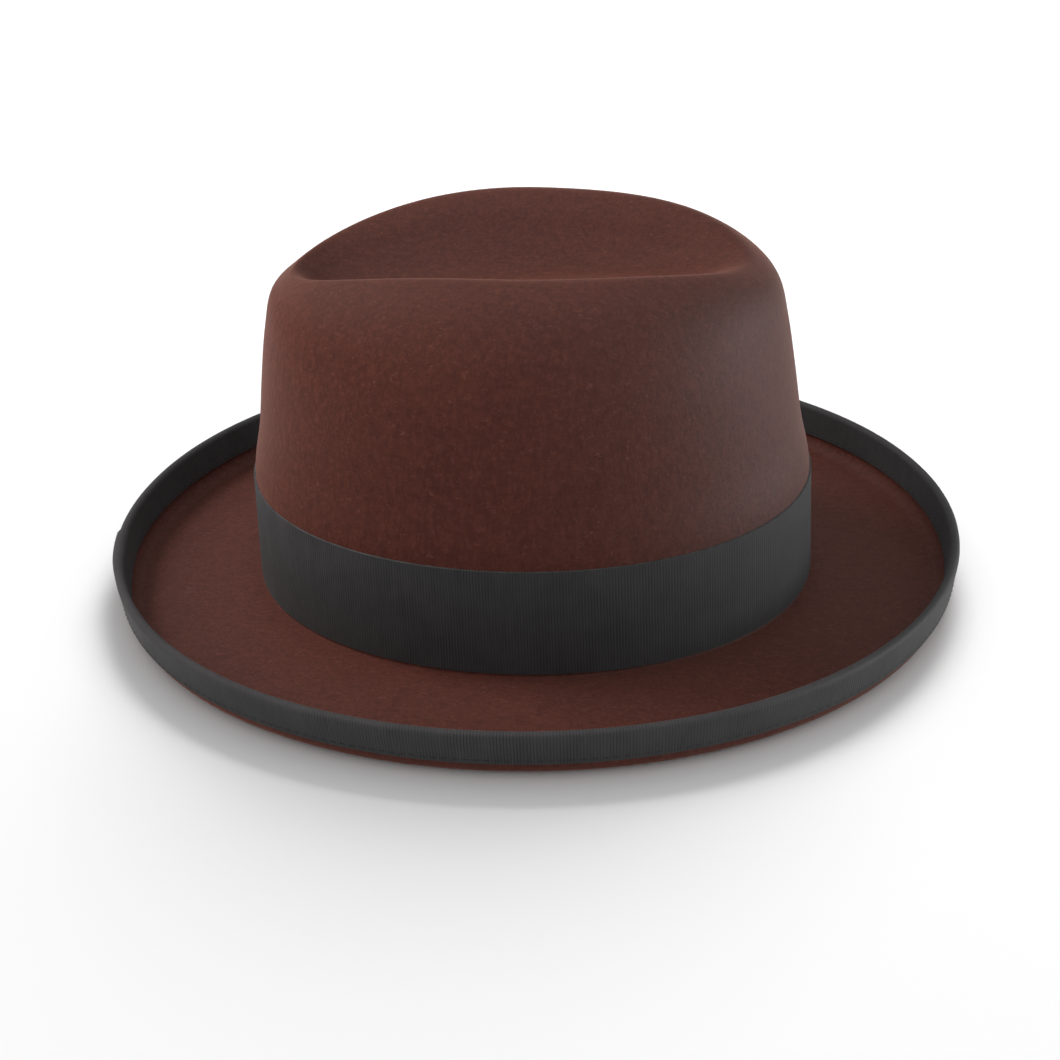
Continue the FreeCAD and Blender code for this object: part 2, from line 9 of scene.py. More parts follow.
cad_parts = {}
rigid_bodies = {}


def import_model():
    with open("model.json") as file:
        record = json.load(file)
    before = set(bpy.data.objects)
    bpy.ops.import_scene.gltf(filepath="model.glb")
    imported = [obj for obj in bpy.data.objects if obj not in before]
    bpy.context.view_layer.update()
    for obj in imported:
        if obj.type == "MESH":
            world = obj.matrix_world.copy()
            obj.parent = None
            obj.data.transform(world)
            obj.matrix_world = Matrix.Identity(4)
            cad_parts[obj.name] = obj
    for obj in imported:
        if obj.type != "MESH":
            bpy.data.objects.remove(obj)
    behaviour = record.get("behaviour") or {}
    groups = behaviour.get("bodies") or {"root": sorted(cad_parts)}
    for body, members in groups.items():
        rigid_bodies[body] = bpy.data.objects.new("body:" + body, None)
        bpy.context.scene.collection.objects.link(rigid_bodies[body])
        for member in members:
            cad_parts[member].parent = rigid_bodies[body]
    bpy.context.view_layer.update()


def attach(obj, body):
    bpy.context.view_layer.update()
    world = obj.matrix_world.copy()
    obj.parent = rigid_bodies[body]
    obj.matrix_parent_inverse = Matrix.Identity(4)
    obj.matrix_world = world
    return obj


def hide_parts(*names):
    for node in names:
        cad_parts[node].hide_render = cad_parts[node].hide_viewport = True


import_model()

# ---- Hat body ----------------------------------------------------------------
# Crown and brim are one piece of stiff fur felt, steamed over a block, with one
# long dent pressed down the crown and the brim edge curled up hot all round.
# The outside is brushed to a short velvety nap.
FELT = 0.0022
HEAD_LENGTH, HEAD_WIDTH = 0.2098, 0.1726
CROWN_HEIGHT = 0.1348
OVAL_FULLNESS, OVAL_EGG = 0.004, -0.012
BRIM_LENGTH, BRIM_WIDTH, BRIM_SHIFT = 0.3159, 0.2854, 0.0003
BRIM_RISE = 0.0017
BREAK_RADIUS = 0.001
CURL_RADIUS, CURL_WALL = 0.0079, 0.0119
CURL_LEAN = math.radians(8.0)
BAND_TAPER = 0.0254
RIBBON_WIDTH, RIBBON_THICK = 0.0405, 0.0006
BRIM_TOP = FELT + BRIM_RISE
RIBBON_FOOT = BRIM_TOP + BREAK_RADIUS
RIBBON_TOP = RIBBON_FOOT + RIBBON_WIDTH
EDGE_RADIUS = FELT / 2

# length, width and forward shift as parts of the crown's foot, then height at the
# sides, front and back as parts of its height, then how it falls away at each end
CROWN_RINGS = [
    (0.445, 0.046, -0.045, 0.8440, 0.8680, 0.8100, 1.0, 1.0),
    (0.580, 0.185, -0.045, 0.8550, 0.8860, 0.8190, 2.0, 2.0),
    (0.690, 0.335, -0.040, 0.9180, 0.9120, 0.8440, 3.0, 2.2),
    (0.742, 0.440, -0.032, 0.9720, 0.9300, 0.8720, 4.0, 2.2),
    (0.784, 0.535, -0.018, 1.0000, 0.9370, 0.8890, 4.0, 2.2),
    (0.819, 0.630, -0.006, 0.9800, 0.9200, 0.8790, 3.5, 2.2),
    (0.850, 0.722, 0.0, 0.9380, 0.8950, 0.8630, 3.0, 2.2),
    (0.879, 0.814, 0.0, 0.8690, 0.8560, 0.8420, 2.0, 2.0),
    (0.903, 0.890, 0.0, 0.7700, 0.7700, 0.7640, 2.0, 2.0),
    (0.932, 0.936, 0.0, 0.6230, 0.6230, 0.6230, 2.0, 2.0),
    (0.955, 0.959, 0.0, 0.4900, 0.4900, 0.4900, 2.0, 2.0),
]


def oval(half_length, half_width, turn):
    """Points on the hat's oval: a little squarer than an ellipse, wider behind."""
    k = OVAL_FULLNESS
    x = half_length * (np.cos(turn) - k * np.cos(3 * turn)) / (1 - k)
    y = half_width * (np.sin(turn) + k * np.sin(3 * turn)) / (1 - k)
    y = y * (1 + OVAL_EGG * np.cos(turn))
    return np.stack([x, y, np.zeros_like(x)], -1)


def oval_outward(half_length, half_width, turn):
    along = oval(half_length, half_width, turn + 1e-4) - oval(half_length, half_width, turn - 1e-4)
    outward = np.stack([along[..., 1], -along[..., 0], np.zeros_like(along[..., 0])], -1)
    return outward / np.linalg.norm(outward, axis=-1, keepdims=True)


def on_wall(turn, out, height):
    """Points measured out from the felt at the foot of the crown."""
    turn, out, height = np.broadcast_arrays(turn, out, height)
    inset = BAND_TAPER * (height - RIBBON_FOOT)
    half_length = HEAD_LENGTH / 2 - inset
    half_width = HEAD_WIDTH / 2 - inset * HEAD_WIDTH / HEAD_LENGTH
    points = oval(half_length, half_width, turn)
    points = points + oval_outward(half_length, half_width, turn) * out[..., None]
    points[..., 2] = height
    return points


def on_edge(turn, out, height):
    """Points measured out from the middle of the bound edge."""
    turn, out, height = np.broadcast_arrays(turn, out, height)
    points = oval(BRIM_LENGTH / 2, BRIM_WIDTH / 2, turn)
    points = points + oval_outward(BRIM_LENGTH / 2, BRIM_WIDTH / 2, turn) * out[..., None]
    points[..., 0] += BRIM_SHIFT
    points[..., 2] = height
    return points


def on_curl(turn, across, up):
    """Points in the turned-up wall: across it from its middle, and up from its foot."""
    s, c = math.sin(CURL_LEAN), math.cos(CURL_LEAN)
    foot = CURL_RADIUS * (1 - s) + EDGE_RADIUS * s
    out = -(CURL_WALL - EDGE_RADIUS) * s + up * s + across * c
    return on_edge(turn, out, foot + up * c - across * s)


def arc(middle, radius, start, stop, count):
    angles = np.radians(np.linspace(start, stop, count))
    return np.stack([middle[0] + radius * np.cos(angles), middle[1] + radius * np.sin(angles)], -1)


def round_turns(count):
    return np.arange(count) * 2 * math.pi / count


def crown_rows(turns, steps):
    """Rows of points on the outside of the crown, from the dent to the ribbon's top."""
    c = np.cos(turns)
    rings = []
    for length, width, shift, side, front, back, front_fall, back_fall in CROWN_RINGS:
        ring = oval(length * HEAD_LENGTH / 2, width * HEAD_WIDTH / 2, turns)
        if front_fall == 1.0:
            part = side + (front - back) / 2 * ring[:, 0] / (length * HEAD_LENGTH / 2)
        else:
            ahead = side + (front - side) * np.maximum(c, 0) ** front_fall
            part = np.where(c > 0, ahead, side + (back - side) * np.maximum(-c, 0) ** back_fall)
        ring[:, 2] = part * CROWN_HEIGHT
        ring[:, 0] += shift * HEAD_LENGTH / 2
        rings.append(ring)
    rings.append(on_wall(turns, 0.0, RIBBON_TOP))
    rings = np.array(rings)
    spans = np.linalg.norm(np.diff(rings, axis=0), axis=-1).mean(1)
    legs = np.diff(rings, axis=0) / spans[:, None, None]
    slopes = np.empty_like(rings)
    ahead, behind = spans[1:, None, None], spans[:-1, None, None]
    slopes[1:-1] = (legs[:-1] * ahead + legs[1:] * behind) / (ahead + behind)
    slopes[0] = legs[0]
    fall = (CROWN_RINGS[0][4] - CROWN_RINGS[0][5]) / CROWN_RINGS[0][0]
    slopes[0, :, 2] = slopes[0, :, 0] * fall * CROWN_HEIGHT / HEAD_LENGTH
    down = on_wall(turns, 0.0, RIBBON_FOOT) - rings[-1]
    slopes[-1] = down / np.linalg.norm(down, axis=-1, keepdims=True)
    rows = [rings[:1]]
    for i, span in enumerate(spans):
        t = (np.arange(steps) + 1)[:, None, None] / steps
        rows.append(rings[i] * (2 * t**3 - 3 * t**2 + 1) + slopes[i] * span * (t**3 - 2 * t**2 + t)
                    + rings[i + 1] * (3 * t**2 - 2 * t**3) + slopes[i + 1] * span * (t**3 - t**2))
    return np.concatenate(rows)


def brim_rows(turns):
    """Rows on the upper side of the felt, from under the ribbon to the bound edge."""
    rows = [on_wall(turns, 0.0, RIBBON_FOOT + RIBBON_WIDTH * part)
            for part in (0.85, 0.7, 0.55, 0.4, 0.25, 0.12, 0.04, 0.0)]
    for x, y in arc((BREAK_RADIUS, RIBBON_FOOT), BREAK_RADIUS, 195, 270, 6):
        rows.append(on_wall(turns, x, y))
    curl_middle = -(CURL_WALL - EDGE_RADIUS) * math.sin(CURL_LEAN)
    curl_middle -= (CURL_RADIUS - EDGE_RADIUS) * math.cos(CURL_LEAN)
    crown = on_wall(turns, BREAK_RADIUS, 0.0)
    curl = on_edge(turns, curl_middle, 0.0)
    for i in range(1, 25):
        t = i / 25
        row = crown * (1 - t) + curl * t
        row[:, 2] = BRIM_TOP - BRIM_RISE * t * t * (3 - 2 * t)
        rows.append(row)
    for x, y in arc((curl_middle, CURL_RADIUS), CURL_RADIUS - FELT, 270,
                    360 - math.degrees(CURL_LEAN), 14):
        rows.append(on_edge(turns, x, y))
    for part in (0.15, 0.3, 0.5, 0.7, 0.85, 1.0):
        rows.append(on_curl(turns, -EDGE_RADIUS, (CURL_WALL - EDGE_RADIUS) * part))
    return np.array(rows)


def moved_in(rows, distance):
    """Rows of a closed skin moved straight in through its thickness."""
    across = np.gradient(rows, axis=0)
    along = np.roll(rows, -1, axis=1) - np.roll(rows, 1, axis=1)
    inward = np.cross(across, along)
    inward[0] = inward[1]
    inward /= np.linalg.norm(inward, axis=-1, keepdims=True)
    return rows - inward * distance


def woven(name, rows, sharp=None):
    """A mesh through rows of points; it closes on itself both ways."""
    rows = np.asarray(rows)
    index = np.arange(rows.shape[0] * rows.shape[1]).reshape(rows.shape[:2])
    around = np.roll(index, -1, 0)
    faces = np.stack([index, np.roll(index, -1, 1), np.roll(around, -1, 1), around], -1)
    return mesh_from(name, rows.reshape(-1, 3), faces.reshape(-1, 4), sharp)


def capped(name, rows, sharp=None):
    """A closed mesh through rings of points, its first and last ring filled across."""
    high, wide = rows.shape[:2]
    index = np.arange(high * wide).reshape(high, wide)
    along = np.roll(index, -1, 1)
    faces = np.stack([index[:-1], along[:-1], along[1:], index[1:]], -1).reshape(-1, 4).tolist()
    for ring in (index[0], index[-1]):
        for j in range(1, wide // 2 - 1):
            faces.append([ring[j], ring[j + 1], ring[-j - 1], ring[-j]])
        faces.append([ring[0], ring[1], ring[-1]])
        faces.append([ring[wide // 2 - 1], ring[wide // 2], ring[wide // 2 + 1]])
    return mesh_from(name, rows.reshape(-1, 3), faces, sharp)


def mesh_from(name, points, faces, sharp=None):
    mesh = bpy.data.meshes.new(name)
    mesh.from_pydata(np.asarray(points).tolist(), [], [list(map(int, f)) for f in faces])
    mesh.validate()
    mesh.shade_smooth()
    if sharp is not None:
        mesh.set_sharp_from_angle(angle=math.radians(sharp))
    piece = bpy.data.objects.new(name, mesh)
    bpy.context.scene.collection.objects.link(piece)
    face_outward(piece)
    return piece


def mark(piece, name, values):
    """Keeps one number at each point, for the finish to read."""
    layer = piece.data.attributes.new(name, "FLOAT", "POINT")
    layer.data.foreach_set("value", np.asarray(values, dtype=np.float32).ravel())


def face_outward(piece):
    """Turns every face of a closed piece to face out."""
    work = bmesh.new()
    work.from_mesh(piece.data)
    bmesh.ops.recalc_face_normals(work, faces=work.faces)
    work.to_mesh(piece.data)
    work.free()


FELT_TURNS = round_turns(356)
felt_top = np.concatenate([crown_rows(FELT_TURNS, 7), brim_rows(FELT_TURNS)])
felt_under = moved_in(felt_top, FELT)
edge_top = CURL_WALL - EDGE_RADIUS
felt_under[-1] = on_curl(FELT_TURNS, EDGE_RADIUS, edge_top)
felt_edge = [on_curl(FELT_TURNS, x, y) for x, y in arc((0, edge_top), EDGE_RADIUS, 180, 0, 7)[1:-1]]
felt = capped("felt_hat", np.concatenate([felt_top, felt_edge, felt_under[::-1]]))


class Thread:
    """One value running through a finish; sums on it add Math nodes."""

    def __init__(self, finish, socket):
        self.finish, self.socket = finish, socket

    def __add__(self, other):
        return self.finish.sum("ADD", self, other)

    def __radd__(self, other):
        return self.finish.sum("ADD", other, self)

    def __sub__(self, other):
        return self.finish.sum("SUBTRACT", self, other)

    def __rsub__(self, other):
        return self.finish.sum("SUBTRACT", other, self)

    def __mul__(self, other):
        return self.finish.sum("MULTIPLY", self, other)

    def __rmul__(self, other):
        return self.finish.sum("MULTIPLY", other, self)


class Finish:
    """A material for one kind of stuff, built node by node."""

    def __init__(self, name, **constants):
        self.material = bpy.data.materials.new(name)
        self.material.use_nodes = True
        self.tree = self.material.node_tree
        self.tree.nodes.clear()
        self.shader = self.tree.nodes.new("ShaderNodeBsdfPrincipled")
        output = self.tree.nodes.new("ShaderNodeOutputMaterial")
        self.tree.links.new(self.shader.outputs["BSDF"], output.inputs["Surface"])
        self.feed(self.shader, {k.replace("_", " "): v for k, v in constants.items()})

    def feed(self, node, inputs):
        for key, value in inputs.items():
            socket = node.inputs[key]
            if isinstance(value, Thread):
                self.tree.links.new(value.socket, socket)
            else:
                socket.default_value = value

    def add(self, kind, settings=None, inputs=None, output=0):
        """Any node: its settings first, then its sockets; gives one output."""
        node = self.tree.nodes.new(kind)
        for key, value in (settings or {}).items():
            setattr(node, key, value)
        self.feed(node, inputs or {})
        return Thread(self, node.outputs[output])

    def sum(self, operation, first, second):
        return self.add("ShaderNodeMath", {"operation": operation}, {0: first, 1: second})

    def marked(self, name):
        return self.add("ShaderNodeAttribute", {"attribute_name": name}, output="Fac")

    def place(self, scale=(1, 1, 1)):
        spot = self.add("ShaderNodeTexCoord", output="Object")
        return self.add("ShaderNodeVectorMath", {"operation": "MULTIPLY"}, {0: spot, 1: scale})

    def noise(self, scale, detail=2.0, roughness=0.5, stretch=(1, 1, 1), distortion=0.0):
        return self.add("ShaderNodeTexNoise", None,
                        {"Vector": self.place(stretch), "Scale": scale, "Detail": detail,
                         "Roughness": roughness, "Distortion": distortion})

    def spread(self, value, low, high):
        """The value stretched so that low becomes 0 and high becomes 1."""
        return self.add("ShaderNodeMapRange", {"clamp": True},
                        {"Value": value, "From Min": low, "From Max": high})

    def mix(self, factor, first, second):
        return self.add("ShaderNodeMix", {"data_type": "RGBA"},
                        {"Factor": factor, 6: first, 7: second}, 2)

    def bump(self, height, distance, strength=1.0, under=None):
        inputs = {"Height": height, "Distance": distance, "Strength": strength}
        if under is not None:
            inputs["Normal"] = under
        return self.add("ShaderNodeBump", None, inputs)

    def wear(self, piece):
        piece.data.materials.clear()
        piece.data.materials.append(self.material)


def felt_finish():
    """Dyed fur felt: mottled colour, short fibres, a soft bloom at the turn-away."""
    finish = Finish("brown_fur_felt", Roughness=0.70, Sheen_Weight=0.24, Sheen_Roughness=0.36,
                    Sheen_Tint=(0.95, 0.44, 0.32, 1), Specular_IOR_Level=0.20)
    patches = finish.spread(finish.noise(38.0, 4.0, 0.6), 0.3, 0.7)
    tufts = finish.spread(finish.noise(330.0, 3.0, 0.6, (1, 1, 0.7), 0.5), 0.34, 0.66)
    lying = finish.spread(finish.noise(620.0, 3.0, 0.55, (0.4, 1, 1), 0.8), 0.38, 0.62)
    standing = finish.spread(finish.noise(760.0, 2.0, 0.55, (1, 1, 0.35), 0.8), 0.38, 0.62)
    tips = finish.spread(finish.noise(950.0, 2.0, 0.6, (0.5, 1, 0.8), 1.2), 0.61, 0.74)
    ground = finish.mix(patches, (0.062, 0.0134, 0.0080, 1), (0.077, 0.0176, 0.0108, 1))
    ground = finish.mix(tufts * 0.50, ground, (0.098, 0.0250, 0.0158, 1))
    ground = finish.mix(lying * 0.32, ground, (0.122, 0.0340, 0.0215, 1))
    ground = finish.mix(standing * 0.42, ground, (0.036, 0.0076, 0.0048, 1))
    ground = finish.mix(tips * 0.40, ground, (0.185, 0.0700, 0.0500, 1))
    nap = finish.bump(0.5 * tufts + 0.3 * lying + 0.2 * tips, 0.00012, 0.7)
    finish.feed(finish.shader, {"Base Color": ground, "Normal": nap})
    return finish


felt_finish().wear(felt)
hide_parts("felt_body")
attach(felt, "root")

# ---- Sweatband ---------------------------------------------------------------
# A strip of thin brown leather stands inside the crown against the head.  Its
# foot carries a springy reed in a tape, and its ends are butted at the back.
SWEAT_WIDTH, SWEAT_THICK, SWEAT_LEAN = 0.057, 0.0009, 0.0016
REED_RADIUS, TAPE_THICK, TAPE_FLANGE = 0.0008, 0.0003, 0.009
LAID, INSIDE_GAP = 0.00004, 0.00025
LEATHER_GAP, REED_GAP, TAPE_GAP = 0.0005, 0.004, 0.001
REED_HEIGHT = BRIM_TOP + 0.0005
SWEAT_FOOT = REED_HEIGHT + REED_RADIUS + LAID
BACK = math.pi


def gapped_turns(middle, gap, count):
    """Turns from one side of a gap right round to the other."""
    reach = gap / HEAD_LENGTH
    return np.linspace(middle + reach, middle + 2 * math.pi - reach, count)


def beside(path, distance):
    """An open path in a section, moved to its left."""
    along = np.gradient(path, axis=0)
    along /= np.linalg.norm(along, axis=-1, keepdims=True)
    return path + np.stack([-along[:, 1], along[:, 0]], -1) * distance


def strip(name, place, path, thick, stations):
    """A strip of stuff: a path in its section, carried along the stations."""
    sides = []
    for half in (thick / 2, -thick / 2):
        moved = beside(path, half)
        sides.append(np.array([place(stations, x, y) for x, y in moved]))
    return two_sided(name, sides[0], sides[1], False)


def two_sided(name, face, back, closed, sharp=40):
    """A closed mesh between two matching sheets of points."""
    rows = np.concatenate([face, back[::-1]])
    if closed:
        return woven(name, rows, sharp)
    high, wide = rows.shape[:2]
    index = np.arange(high * wide).reshape(high, wide)
    around = np.roll(index, -1, 0)
    faces = np.stack([index[:, :-1], index[:, 1:], around[:, 1:], around[:, :-1]], -1)
    faces = faces.reshape(-1, 4).tolist()
    half = high // 2
    for column in (0, wide - 1):
        for i in range(half - 1):
            faces.append([index[i, column], index[i + 1, column],
                          index[high - 2 - i, column], index[high - 1 - i, column]])
    return mesh_from(name, rows.reshape(-1, 3), faces, sharp)


def drawn_in(height):
    """How far the crown stands in from the straight wall below it."""
    steps, rising = 9, 40
    line = crown_rows(np.zeros(1), steps)[::-1, 0][:rising]
    here = np.interp(height, line[:, 2], line[:, 0])
    wall = on_wall(0.0, 0.0, height)[..., 0]
    return np.where(np.asarray(height) > RIBBON_TOP, wall - here, 0.0)


def sweat_out(height):
    """Middle of the leather, measured out from the felt."""
    foot = -(FELT + 2 * INSIDE_GAP + TAPE_THICK + SWEAT_THICK / 2)
    return foot - SWEAT_LEAN * (height - SWEAT_FOOT) / SWEAT_WIDTH - drawn_in(height)


def rounded_ends(low, high, soften, count):
    """Heights up a strip, closer together at its two cut edges."""
    middle = np.linspace(low + soften, high - soften, count)
    return np.concatenate([[low, low + soften * 0.4], middle, [high - soften * 0.4, high]])


sweat_heights = rounded_ends(SWEAT_FOOT, SWEAT_FOOT + SWEAT_WIDTH, 0.0006, 14)
sweat_path = np.stack([sweat_out(sweat_heights), sweat_heights], -1)
sweatband = strip("leather_sweatband", on_wall, sweat_path, SWEAT_THICK,
                  gapped_turns(BACK, LEATHER_GAP, 260))


def leather_finish():
    """Smooth vegetable-tanned leather: fine pores and creases, slightly polished."""
    finish = Finish("tan_sweatband_leather", Roughness=0.45, Specular_IOR_Level=0.4)
    pores = finish.add("ShaderNodeTexVoronoi", {"feature": "DISTANCE_TO_EDGE"},
                       {"Vector": finish.place(), "Scale": 1100.0})
    creases = finish.noise(240.0, 4.0, 0.6)
    blotches = finish.spread(finish.noise(30.0, 3.0), 0.3, 0.7)
    colour = finish.mix(blotches, (0.170, 0.078, 0.037, 1), (0.215, 0.105, 0.052, 1))
    colour = finish.mix(finish.spread(pores, 0.16, 0.0) * 0.35, colour, (0.085, 0.036, 0.018, 1))
    grain = finish.bump(finish.spread(pores, 0.0, 0.2) * 0.6 + creases * 0.6, 0.00012, 0.6)
    finish.feed(finish.shader, {"Base Color": colour, "Normal": grain,
                                "Roughness": 0.36 + 0.22 * creases})
    return finish


leather_finish().wear(sweatband)
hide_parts("sweatband")
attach(sweatband, "root")

# ---- Reed and its tape ----------------------------------------------------------
# A round plastic reed, sprung open inside the fold of a woven tape.  The tape's
# long side stands up behind the leather, where it is sewn to the felt.


def tube(name, line, across, radius, closed, sides=12):
    """A round rod along a line; across is each point's sideways direction."""
    up = np.array([0.0, 0.0, 1.0])
    rows = []
    for k in range(sides):
        angle = 2 * math.pi * k / sides
        rows.append(line + across * radius * math.cos(angle) + up * radius * math.sin(angle))
    if closed:
        return woven(name, rows)
    rows = np.array(rows)
    high, wide = rows.shape[:2]
    index = np.arange(high * wide).reshape(high, wide)
    around = np.roll(index, -1, 0)
    faces = np.stack([index[:, :-1], index[:, 1:], around[:, 1:], around[:, :-1]], -1)
    faces = faces.reshape(-1, 4).tolist() + [index[:, 0].tolist(), index[::-1, -1].tolist()]
    return mesh_from(name, rows.reshape(-1, 3), faces, 50)


reed_turns = gapped_turns(BACK, REED_GAP, 240)
reed_line = on_wall(reed_turns, sweat_out(SWEAT_FOOT), REED_HEIGHT)
reed = tube("sweatband_reed", reed_line, oval_outward(HEAD_LENGTH / 2, HEAD_WIDTH / 2, reed_turns),
            REED_RADIUS, False)
reed_finish = Finish("ivory_reed_plastic", Base_Color=(0.55, 0.53, 0.44, 1), Roughness=0.4)
reed_cloud = reed_finish.noise(90.0, 3.0)
reed_finish.feed(reed_finish.shader, {
    "Base Color": reed_finish.mix(reed_cloud, (0.50, 0.48, 0.39, 1), (0.62, 0.60, 0.52, 1)),
    "Normal": reed_finish.bump(reed_finish.noise(800.0), 0.00003, 0.4)})
reed_finish.wear(reed)
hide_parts("sweat_reed")
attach(reed, "root")

tape_out = -(FELT + INSIDE_GAP + TAPE_THICK / 2)
tape_radius = REED_RADIUS + LAID + TAPE_THICK / 2
tape_flange = [(tape_out, REED_HEIGHT + 0.0006 + TAPE_FLANGE * (8 - i) / 8) for i in range(8)]
tape_fold = arc((sweat_out(SWEAT_FOOT), REED_HEIGHT), tape_radius, 375, 190, 16)
tape_path = np.concatenate([tape_flange, tape_fold])
tape = strip("reed_tape_cloth", on_wall, tape_path, TAPE_THICK,
             gapped_turns(BACK, TAPE_GAP, 260))


def weave(finish, pitch, depth):
    """Plain weave cut into a bump: threads up the piece and threads round it."""
    upright = finish.add("ShaderNodeTexWave", {"bands_direction": "Z"},
                         {"Vector": finish.place(), "Scale": 0.314 / pitch, "Distortion": 0.6,
                          "Detail": 1.0, "Detail Scale": 3.0})
    across = finish.noise(1.0 / pitch, 1.0, 0.4)
    return finish.bump(upright * 0.6 + across * 0.5, depth, 0.7)


def cloth_finish(name, dark, light, pitch, depth, rough=0.75, sheen=0.25):
    """Woven trimming cloth: two close shades of one dye, and its threads."""
    finish = Finish(name, Roughness=rough, Sheen_Weight=sheen, Sheen_Roughness=0.4,
                    Specular_IOR_Level=0.3)
    shade = finish.spread(finish.noise(0.5 / pitch, 2.0, 0.6), 0.3, 0.7)
    cloud = finish.noise(60.0, 3.0)
    colour = finish.mix(shade * 0.6 + cloud * 0.4, dark, light)
    finish.feed(finish.shader, {"Base Color": colour, "Normal": weave(finish, pitch, depth)})
    return finish


cloth_finish("brown_reed_tape", (0.020, 0.011, 0.008, 1), (0.036, 0.021, 0.015, 1),
             0.0005, 0.00008).wear(tape)
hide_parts("reed_tape")
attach(tape, "root")

# ---- Sweatband stitching ---------------------------------------------------------
# A lockstitch just above the reed joins leather, tape and felt, and a zigzag in
# the same tan thread draws the butted ends together at the back.
THREAD = 0.00017
SWEAT_STITCH_PITCH, SWEAT_STITCH_LENGTH, SWEAT_STITCH_RISE = 0.004, 0.0031, 0.0016
ZIG_PITCH, ZIG_LENGTH, ZIG_ACROSS, ZIG_MARGIN = 0.0022, 0.003, 0.0016, 0.004


def evenly(place, pitch, start, stop, fine=6000):
    """Turns that come out evenly spaced along a line round the hat."""
    turns = np.linspace(start, stop, fine)
    steps = np.linalg.norm(np.diff(place(turns), axis=0), axis=-1)
    total = np.concatenate([[0], np.cumsum(steps)])
    count = int(total[-1] / pitch)
    return np.interp((np.arange(count) + 0.5) * total[-1] / count, total, turns)


def stitches(name, middles, alongs, ups, length, radius):
    """A row of laid threads: each one a short bead that dips at both ends."""
    rings, sides = 7, 8
    points, faces = [], []
    for middle, along, up in zip(middles, alongs, ups):
        along = along / np.linalg.norm(along)
        side = np.cross(up, along)
        side /= np.linalg.norm(side)
        up = np.cross(along, side)
        first = len(points)
        for i in range(rings):
            t = i / (rings - 1) * 2 - 1
            fat = radius * (0.55 + 0.45 * math.sqrt(max(0.0, 1 - t * t)))
            centre = middle + along * t * length / 2 - up * radius * 0.9 * t**4
            for k in range(sides):
                angle = 2 * math.pi * k / sides
                points.append(centre + side * fat * math.cos(angle) + up * fat * math.sin(angle))
        for i in range(rings - 1):
            for k in range(sides):
                a = first + i * sides + k
                b = first + i * sides + (k + 1) % sides
                faces.append([a, b, b + sides, a + sides])
        faces.append([first + k for k in range(sides)][::-1])
        faces.append([first + (rings - 1) * sides + k for k in range(sides)])
    return mesh_from(name, points, faces, 60)


def thread_finish(name, dark, light, sheen):
    """Spun thread: twisted plies, slightly fuzzy."""
    finish = Finish(name, Roughness=0.75, Sheen_Weight=sheen, Sheen_Roughness=0.5,
                    Specular_IOR_Level=0.25)
    plies = finish.add("ShaderNodeTexWave", {"bands_direction": "DIAGONAL"},
                       {"Vector": finish.place(), "Scale": 900.0, "Distortion": 1.0})
    colour = finish.mix(0.5 * plies + 0.5 * finish.noise(300.0), dark, light)
    finish.feed(finish.shader, {"Base Color": colour, "Normal": finish.bump(plies, 0.00005, 0.7)})
    return finish


sweat_stitch_height = SWEAT_FOOT + SWEAT_STITCH_RISE
sweat_stitch_out = sweat_out(sweat_stitch_height) - SWEAT_THICK / 2 - THREAD * 0.7


def sweat_stitch_place(turns):
    return on_wall(turns, sweat_stitch_out, sweat_stitch_height)


turns = evenly(sweat_stitch_place, SWEAT_STITCH_PITCH, BACK + 0.03, BACK + 2 * math.pi - 0.03)
sweat_seam = stitches(
    "sweatband_lockstitch", sweat_stitch_place(turns),
    sweat_stitch_place(turns + 0.01) - sweat_stitch_place(turns - 0.01),
    -oval_outward(HEAD_LENGTH / 2, HEAD_WIDTH / 2, turns), SWEAT_STITCH_LENGTH, THREAD)
tan_thread = thread_finish("tan_thread", (0.16, 0.085, 0.045, 1), (0.30, 0.18, 0.10, 1), 0.3)
tan_thread.wear(sweat_seam)
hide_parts("sweatband_stitches")
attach(sweat_seam, "root")

zig_count = int((SWEAT_WIDTH - 2 * ZIG_MARGIN) / ZIG_PITCH)
zig_heights = SWEAT_FOOT + ZIG_MARGIN + ZIG_PITCH * (np.arange(zig_count) + 0.5)
zig_middles = on_wall(BACK, sweat_out(zig_heights) - SWEAT_THICK / 2 - THREAD * 0.8, zig_heights)
zig_tilts = np.where(np.arange(zig_count) % 2, 1.0, -1.0)
zig_alongs = np.stack([np.zeros(zig_count), ZIG_ACROSS * zig_tilts,
                       np.full(zig_count, ZIG_PITCH * 0.8)], -1)
back_seam = stitches("back_zigzag", zig_middles, zig_alongs,
                     np.tile([1.0, 0.0, 0.0], (zig_count, 1)), ZIG_LENGTH, THREAD)
tan_thread.wear(back_seam)
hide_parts("back_seam_stitches")
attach(back_seam, "root")

# ---- Little bow at the back of the sweatband ------------------------------------
# A narrow satin ribbon folded into two loops with a wrap round the middle.  It is
# tacked over the joint of the leather.
TINY_CLOTH = 0.0003
RIBBON_RIB = (0.0, 0.7, 1.0, 0.7)


def closed_smooth(points, count):
    """A smooth closed line through the points, with evenly spaced samples."""
    points = np.asarray(points)
    before, after = np.roll(points, 1, 0), np.roll(points, -1, 0)
    beyond = np.roll(points, -2, 0)
    t = np.linspace(0, 1, 12, endpoint=False)[:, None, None]
    line = 0.5 * (2 * points + (after - before) * t + (2 * before - 5 * points + 4 * after - beyond) * t**2
                  + (3 * points - before - 3 * after + beyond) * t**3)
    line = line.transpose(1, 0, 2).reshape(-1, points.shape[1])
    steps = np.linalg.norm(np.roll(line, -1, 0) - line, axis=-1)
    total = np.concatenate([[0], np.cumsum(steps)])
    wrapped = np.concatenate([line, line[:1]])
    wanted = np.linspace(0, total[-1], count, endpoint=False)
    return np.stack([np.interp(wanted, total, wrapped[:, k]) for k in range(points.shape[1])], -1)


